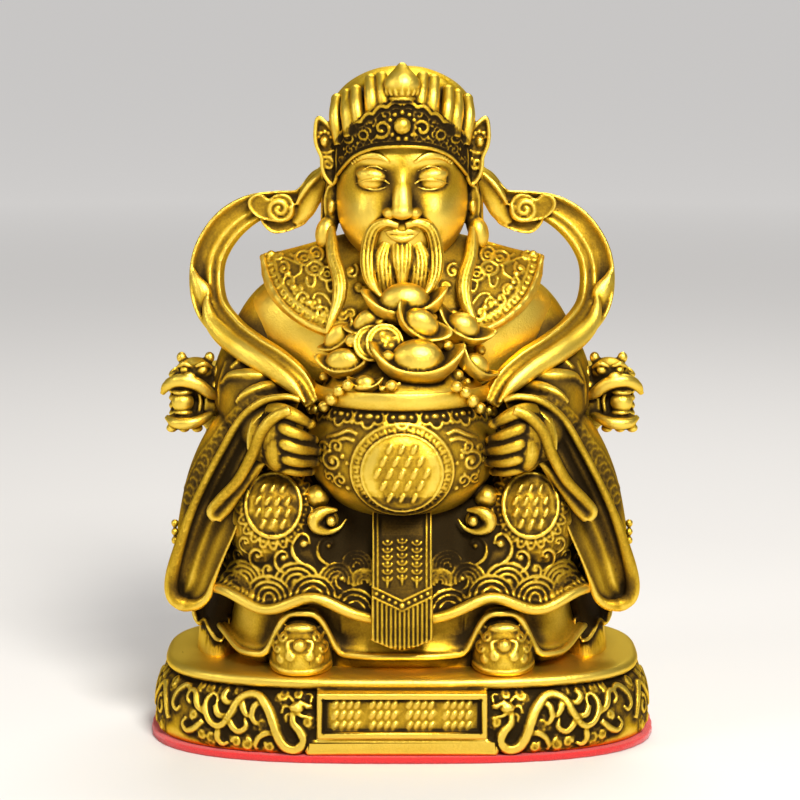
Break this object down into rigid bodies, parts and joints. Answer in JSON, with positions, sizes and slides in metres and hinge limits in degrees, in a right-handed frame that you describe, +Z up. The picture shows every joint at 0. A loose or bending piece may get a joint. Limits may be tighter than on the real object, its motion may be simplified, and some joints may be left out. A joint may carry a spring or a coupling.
{
  "type": "caishen figure",
  "caption": "Seated cast-brass wealth deity holding a round treasure bowl, on an oval plinth with a felt underside.",
  "frame": {"origin": "on the floor, under the middle of the plinth", "axes": "+Z up, the figure faces -Y, +X to the viewer's right"},
  "size_m": [0.15, 0.092, 0.199],
  "materials": {
    "antique_brass": "satin antique gold over brass, dark brown patina in the recesses",
    "red_felt": "bright red felt"
  },
  "bodies": {
    "root": {"caishen_figure": "antique_brass", "felt_pad": "red_felt"}
  },
  "joints": []
}
